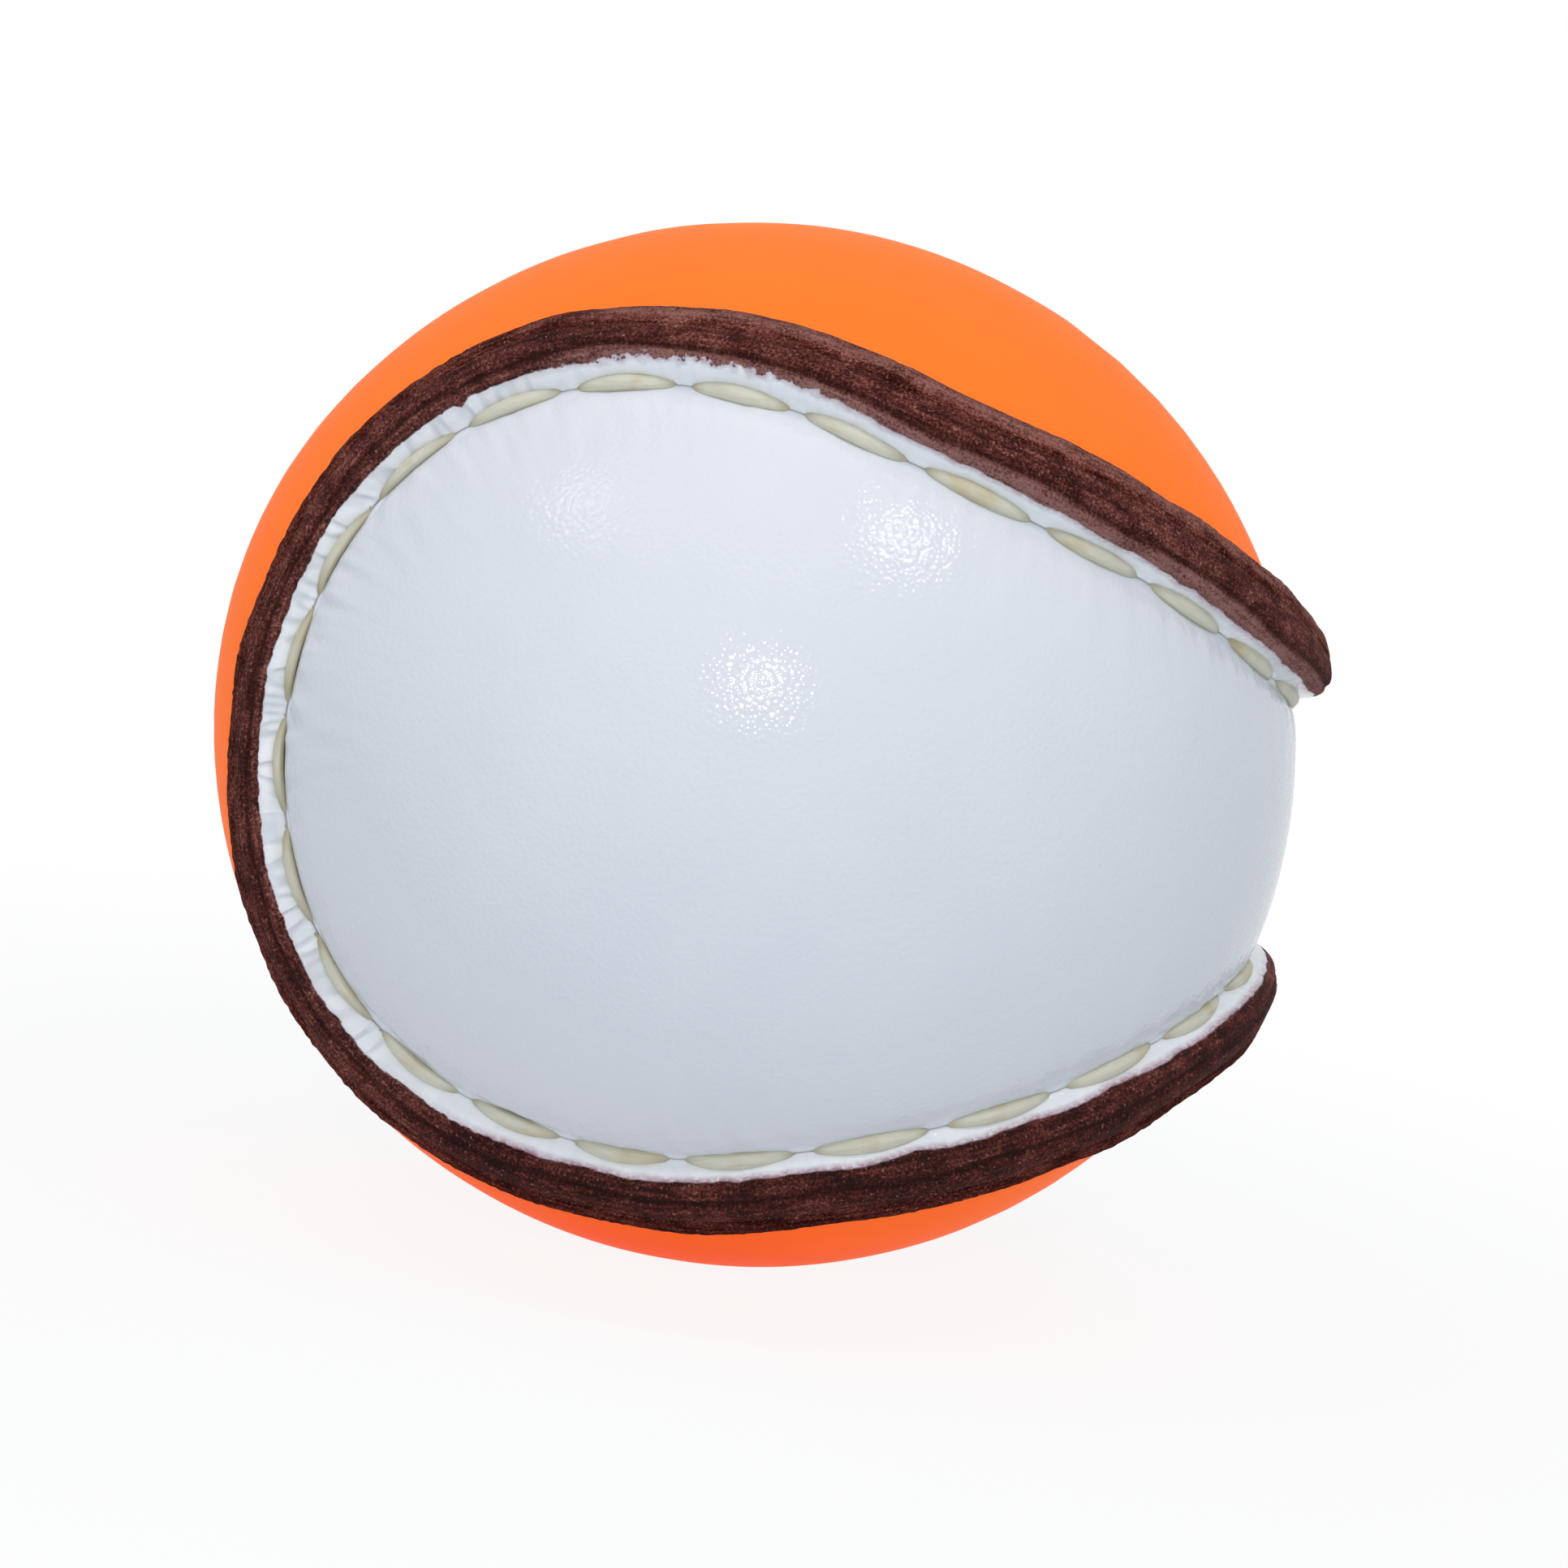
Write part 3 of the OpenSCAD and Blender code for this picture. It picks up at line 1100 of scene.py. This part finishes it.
    def stitch_pull(self, place: np.ndarray, across: np.ndarray) -> np.ndarray:
        """Gives the leather that closes over each hole, drawn in a little round it.

        Args:
            place: Distances along the seam.
            across: Distances across the section.

        Returns:
            Heights over the plain section.
        """
        seam, crease = self.profile.seam, self.profile.crease_across
        gap = seam.hole_gap(place)
        lip = self.hole_close - 0.1 * seam.zone(place, *self.open_holes)
        closed = lip * hump(gap, 0, 1.1) * hump(across, crease, 0.4)
        return closed - self.hole_draw * hump(gap, 0, 1.4) * hump(across, crease, 1.6)

    def pleats(self, place: np.ndarray, across: np.ndarray) -> np.ndarray:
        """Gives the short creases across the upturned edge, closest round the tips of the lobes.

        Args:
            place: Distances along the seam.
            across: Distances across the section.

        Returns:
            Heights over the plain section.
        """
        seam, crease = self.profile.seam, self.profile.crease_across
        draw = np.random.default_rng(41 + self.panel.value)
        total = np.zeros_like(place)
        for middle in np.sort(draw.uniform(0, seam.length, self.pleat_count)):
            depth = draw.uniform(0.05, 0.28)
            slant = draw.uniform(-0.5, 0.5)
            width = draw.uniform(0.35, 0.65)
            total -= depth * hump(place + slant * (across - crease), middle, width)
        return total * hump(across, crease - 1.7, 1.15) * (0.35 + 0.65 * seam.zone(place, *self.pleated))

    def puckers(self, place: np.ndarray, across: np.ndarray) -> np.ndarray:
        """Gives the faint wrinkles that run from the stitches into the panel.

        Args:
            place: Distances along the seam.
            across: Distances across the section.

        Returns:
            Heights over the plain section.
        """
        seam, crease = self.profile.seam, self.profile.crease_across
        reach = np.clip(across - crease, 0, None)
        fade = smoothstep(0.3, 1.7, reach) * np.exp(-reach / 3.2)
        tight = 0.5 + 0.5 * seam.growth(place) ** -4
        waves = seam.ripple(place + 0.25 * reach, 2.1, 51) + 0.8 * seam.ripple(place - 0.2 * reach, 3.6, 52)
        total = self.wrinkle * waves * fade * tight
        for middle, half, gone in self.folds:
            total = total - self.fold_depth * seam.near(place, middle, half) * hump(reach, gone, 0.3)
        return total

    def top_wear(self, place: np.ndarray, across: np.ndarray) -> np.ndarray:
        """Gives the uneven height of the cut edge on top of the ridge.

        Args:
            place: Distances along the seam.
            across: Distances across the section.

        Returns:
            Heights over the plain section.
        """
        seam = self.profile.seam
        long = 0.03 * seam.ripple(place, 8.0, 64 + self.panel.value)
        fine = 0.025 * seam.ripple(place, 0.9, 61 + self.panel.value) * np.cos(2.1 * across)
        return hump(across, 1.2, 1.3) * (long + fine)


@dataclass
class SaddleThread:
    """One of the two threads of the saddle stitch: over the white side, through a hole, over the orange."""

    name: str
    profile: EdgeProfile
    finish: WaxedThread
    white_on_even: bool
    stitch_r: float = 0.53
    drawn_r: float = 0.22
    lane: float = 0.26
    hole_rise: float = 0.2
    sunk_rise: float = -0.5
    mouth_in: float = 0.1
    # Points in a hole: share of the stitch's length, and of the way from the seam's middle to the mouth.
    hole_steps: tuple[tuple[float, float], ...] = ((0.0, 0.0), (0.005, 0.3), (0.01, 0.6), (0.02, 0.9))
    lens_ends: tuple[float, float] = (0.07, 0.93)
    lens_points: int = 25
    lens_power: float = 0.75

    def build(self) -> bpy.types.Object:
        """Builds the thread as one closed tube that swells into a flat lens at each stitch.

        Returns:
            The finished piece.
        """
        place, side, rise, radius = self.route()
        seam = self.profile.seam
        curve = bpy.data.curves.new(self.name, "CURVE")
        curve.dimensions = "3D"
        curve.bevel_depth = 1.0
        curve.bevel_resolution = 3
        spline = curve.splines.new("POLY")
        spline.points.add(len(place) - 1)
        middle = seam.at(place, side, rise)
        spline.points.foreach_set("co", np.c_[middle, np.ones(len(place))].ravel())
        spline.points.foreach_set("radius", radius)
        spline.use_cyclic_u = True
        holder = bpy.data.objects.new("thread_route", curve)
        bpy.context.scene.collection.objects.link(holder)
        drawn = holder.evaluated_get(bpy.context.evaluated_depsgraph_get())
        mesh = bpy.data.meshes.new_from_object(drawn)
        mesh.name = self.name
        bpy.data.objects.remove(holder)
        self.dress(mesh, middle, place, radius)
        piece = place_piece(mesh, f"{self.name}_waxed", self.finish.material())
        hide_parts(self.name)
        return piece

    def route(self) -> tuple[np.ndarray, np.ndarray, np.ndarray, np.ndarray]:
        """Works out the thread's middle line.

        Returns:
            Places along the seam, sides, rises and radii.
        """
        seam, profile = self.profile.seam, self.profile
        draw = np.random.default_rng(71 + self.white_on_even)
        first, last = self.lens_ends
        rows = []
        for k in range(seam.stitches):
            sign = 1 if (k % 2 == 0) == self.white_on_even else -1
            begin = (k + 0.5) * seam.pitch
            bow = draw.uniform(0.9, 1.1)
            lean = draw.uniform(-0.12, 0.12)
            girth = draw.uniform(0.9, 1.08)
            full = self.stitch_r * girth * float(seam.growth(np.array(begin))) ** 1.4
            for share, out in self.hole_steps:
                rows.append(self.in_hole(begin + share * seam.pitch, out, sign, sign * self.lane))
            for f in np.linspace(first, last, self.lens_points):
                lens = max(math.sin(math.pi * (f - first) / (last - first)), 0.0) ** self.lens_power
                radius = self.drawn_r + (full - self.drawn_r) * lens
                depth = profile.half_w + 0.08 + 0.32 * bow * lens + lean * (2 * f - 1) * lens
                rows.append((begin + f * seam.pitch, sign * depth, self.sunk_rise * (1 - lens), radius))
            for share, out in self.hole_steps[:0:-1]:
                rows.append(self.in_hole(begin + (1 - share) * seam.pitch, out, sign, -sign * self.lane))
        place, side, rise, radius = np.array(rows).T
        edge = np.sign(side) * np.minimum(np.abs(side), profile.half_w)
        return place, side + edge * profile.width_growth * (seam.growth(place) - 1), rise, radius

    def in_hole(self, place: float, out: float, sign: int, lift: float) -> tuple[float, float, float, float]:
        """Gives one point of the thread inside a hole.

        Args:
            place: Its distance along the seam.
            out: Share of the way from the seam's middle to the hole's mouth.
            sign: 1 toward the white side and -1 toward the orange one.
            lift: Height over the hole's middle that keeps the two threads apart.

        Returns:
            Place, side, rise and radius.
        """
        lane = self.hole_rise + lift
        mouth = self.profile.half_w - self.mouth_in
        return place, sign * out * mouth, lane + (self.sunk_rise - lane) * out**2, self.drawn_r

    def dress(self, mesh: bpy.types.Mesh, middle: np.ndarray, place: np.ndarray, radius: np.ndarray) -> None:
        """Stores where each vertex lies along and around the thread, and how much soil and painted shade it
        gets.

        Args:
            mesh: The thread's mesh, one ring of vertices for each point of its route.
            middle: The route's points.
            place: Their places along the seam.
            radius: The thread's radius at each of them.
        """
        points = read_points(mesh)
        rings = len(points) // len(middle)
        owner = np.repeat(np.arange(len(middle)), rings)
        spoke = points - middle[owner]
        outward = middle[owner] / np.linalg.norm(middle[owner], axis=1)[:, None]
        up = (spoke * outward).sum(1)
        turn = np.arctan2(up, np.linalg.norm(spoke - up[:, None] * outward, axis=1))
        write_attribute(mesh, "along", place[owner])
        write_attribute(mesh, "around", turn * radius[owner])
        # Darker where the thread thins into the holes and on its underside: partly soil, partly painted
        # shade.
        slim = smoothstep(self.stitch_r * 0.85, self.drawn_r, radius[owner])
        under = smoothstep(0.25, -0.5, np.sin(turn))
        write_attribute(mesh, "soil_and_shade", np.clip(0.6 * slim + 0.6 * under, 0, 0.8))


@dataclass
class CoreLayers:
    """The three layers inside the cover, kept as they are in the frame and given their own finish."""

    nodes: dict

    def dress(self) -> None:
        """Gives the cork core and the two yarn windings their materials."""
        finishes = {
            "cork_core": CoreStuff("granulated_cork", "#b98a5a", "#6e4a2c", 1.6),
            "inner_winding": CoreStuff("coarse_wool_yarn", "#b9b9bd", "#7a7a80", 1.1, 0.2),
            "outer_winding": CoreStuff("fine_wool_yarn", "#efeee9", "#bdb9ae", 0.6, 0.2),
        }
        for name, stuff in finishes.items():
            self.nodes[name].data.materials.clear()
            self.nodes[name].data.materials.append(stuff.material())
            LOG.info("dressed %s in %s", name, stuff.name)


@dataclass(frozen=True)
class PhotoCamera:
    """A camera at the photograph's viewing angle, framed in its square image."""

    azimuth: float = math.radians(-9.15)
    elevation: float = math.radians(6.75)
    roll: float = math.radians(8.98)
    distance: float = 248.5
    focal_px: float = 4534.0
    ball_px: tuple[float, float] = (932.0, 917.0)
    image_px: int = 1932
    sensor_mm: float = 36.0

    def axes(self) -> tuple[Vector, Vector, Vector]:
        """Works out how the camera is turned.

        Returns:
            Its right, up and backward directions.
        """
        a, e = self.azimuth, self.elevation
        back = Vector((math.sin(a) * math.cos(e), -math.cos(a) * math.cos(e), math.sin(e)))
        right = Vector((0, 0, 1)).cross(back).normalized()
        up = back.cross(right)
        c, s = math.cos(self.roll), math.sin(self.roll)
        return c * right + s * up, c * up - s * right, back

    def build(self) -> bpy.types.Object:
        """Makes the camera and sets it as the scene's own.

        Returns:
            The camera object.
        """
        lens = bpy.data.cameras.new("photo_camera")
        lens.sensor_width = self.sensor_mm
        lens.lens = self.focal_px * self.sensor_mm / self.image_px
        lens.shift_x = (self.image_px / 2 - self.ball_px[0]) / self.image_px
        lens.shift_y = (self.ball_px[1] - self.image_px / 2) / self.image_px
        lens.clip_start = 0.01
        camera = bpy.data.objects.new("photo_camera", lens)
        right, up, back = self.axes()
        turn = Matrix((right, up, back)).transposed().to_4x4()
        camera.matrix_world = Matrix.Translation(back * self.distance * METRES) @ turn
        bpy.context.scene.collection.objects.link(camera)
        bpy.context.scene.camera = camera
        return camera


@dataclass(frozen=True)
class Softbox:
    """A square studio light, placed by its direction as seen from the camera's place."""

    name: str
    sideways: float
    upward: float
    away: float
    size: float
    power: float
    tint: str = "#ffffff"

    def build(self, camera: PhotoCamera) -> bpy.types.Object:
        """Hangs the light and turns it to the ball.

        Args:
            camera: The camera whose axes the light's direction is given in.

        Returns:
            The light object.
        """
        right, up, back = camera.axes()
        s, u = math.radians(self.sideways), math.radians(self.upward)
        toward = math.cos(u) * (math.sin(s) * right + math.cos(s) * back) + math.sin(u) * up
        lamp = bpy.data.lights.new(self.name, "AREA")
        lamp.size = self.size
        lamp.energy = self.power
        lamp.color = linear(self.tint)[:3]
        light = bpy.data.objects.new(self.name, lamp)
        light.location = toward * self.away
        light.rotation_mode = "QUATERNION"
        light.rotation_quaternion = toward.to_track_quat("Z", "Y")
        bpy.context.scene.collection.objects.link(light)
        return light


@dataclass
class Studio:
    """The plain white sweep, the soft lights and the even fill round the ball."""

    camera: PhotoCamera
    floor_r: float = 2.0
    fill: float = 0.34
    fill_tint: str = "#e8f4ff"
    floor_tint: str = "#e9f0f3"
    floor_glow: float = 0.9
    shade_r: float = 0.05
    fade_r: float = 0.15

    def softboxes(self) -> list[Softbox]:
        """Lists the lights: a small one over the camera, one overhead and two faint side windows."""
        return [
            Softbox("camera_flash", 1.0, 12.5, 0.9, 0.035, 1.65),
            Softbox("overhead_softbox", 5.0, 62.0, 0.9, 0.8, 2.75, "#fff7f4"),
            Softbox("right_window", 38.0, 42.0, 1.0, 0.15, 1.3),
            Softbox("left_window", -46.0, 48.0, 1.0, 0.14, 0.5),
        ]

    def build(self, floor_z: float) -> None:
        """Makes the floor, the surroundings and the lights.

        Args:
            floor_z: Height of the ball's lowest point, in metres.
        """
        self.floor(floor_z)
        self.surroundings()
        for box in self.softboxes():
            box.build(self.camera)
        bpy.context.scene.view_settings.view_transform = "Standard"

    def floor(self, floor_z: float) -> bpy.types.Object:
        """Lays the pale floor, which shows white but keeps the ball's shadow.

        Args:
            floor_z: Height of the floor, in metres.

        Returns:
            The floor object.
        """
        bm = bmesh.new()
        bmesh.ops.create_circle(bm, cap_ends=True, segments=64, radius=self.floor_r)
        bmesh.ops.translate(bm, verts=bm.verts, vec=(0, 0, floor_z))
        mesh = bpy.data.meshes.new("studio_floor")
        bm.to_mesh(mesh)
        bm.free()
        made, tree = new_material("matt_white_paper")
        spot = add_node(tree, "TexCoord").outputs["Object"]
        out = add_node(tree, "VectorMath", {0: spot}, operation="LENGTH").outputs["Value"]
        fade = {"Value": out, "From Min": self.shade_r, "From Max": self.fade_r, "To Min": self.floor_glow}
        lift = add_node(tree, "MapRange", fade, interpolation_type="SMOOTHSTEP").outputs["Result"]
        share = add_node(tree, "Math", {0: direct_rays(tree), 1: lift}, operation="MULTIPLY").outputs[0]
        paper = add_node(tree, "BsdfDiffuse", {"Color": linear(self.floor_tint)}).outputs["BSDF"]
        glow = add_node(tree, "Emission", {"Color": linear("#ffffff"), "Strength": 1.0}).outputs["Emission"]
        mixed = add_node(tree, "MixShader", {0: share, 1: paper, 2: glow}).outputs["Shader"]
        add_node(tree, "OutputMaterial", {"Surface": mixed})
        mesh.materials.append(made)
        floor = bpy.data.objects.new("studio_floor", mesh)
        bpy.context.scene.collection.objects.link(floor)
        floor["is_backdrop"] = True
        return floor

    def surroundings(self) -> None:
        """Sets the even fill light, with plain white behind the ball."""
        world = bpy.data.worlds.new("white_studio")
        bpy.context.scene.world = world
        world.use_nodes = True
        tree = world.node_tree
        tree.nodes.clear()
        fill = add_node(tree, "Background", {"Color": linear(self.fill_tint), "Strength": self.fill})
        white = add_node(tree, "Background", {"Color": linear("#ffffff"), "Strength": 1.0})
        both = {0: direct_rays(tree), 1: fill.outputs[0], 2: white.outputs[0]}
        mixed = add_node(tree, "MixShader", both).outputs["Shader"]
        add_node(tree, "OutputWorld", {"Surface": mixed})


def main() -> None:
    """Builds the ball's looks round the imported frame."""
    logging.basicConfig(level=logging.INFO, format="%(message)s")
    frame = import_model()
    seam = Seam()
    profile = EdgeProfile(seam)
    CoreLayers(frame["nodes"]).dress()
    white = CoatedLeather(
        name="white_coated_leather",
        coat="#e9ecf2",
        coat_shade="#e2e6ed",
        coat_painted_light="#f8fafe",
        coat_roughness=0.12,
    )
    orange = CoatedLeather(
        name="orange_coated_leather",
        coat="#ff8738",
        coat_shade="#fc7f32",
        coat_painted_light="#ff9048",
        coat_roughness=0.45,
        gloss=0.016,
        painted_glow=0.34,
        dye_dark="#2f110e",
        dye_mid="#74382f",
        dye_light="#b07367",
        dye_thin="#b08078",
    )
    thread = WaxedThread()
    pieces = [
        LeatherPanel(Panel.WHITE, profile, white, "white_panel", "white_leather"),
        LeatherPanel(Panel.ORANGE, profile, orange, "orange_panel", "orange_leather"),
        SaddleThread("first_thread", profile, thread, True),
        SaddleThread("second_thread", profile, thread, False),
    ]
    for piece in pieces:
        made = piece.build()
        LOG.info("built %s with %d faces", made.name, len(made.data.polygons))
    camera = PhotoCamera()
    camera.build()
    visual_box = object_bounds()
    Studio(camera).build(visual_box[0].z)


if __name__ == "__main__":
    main()
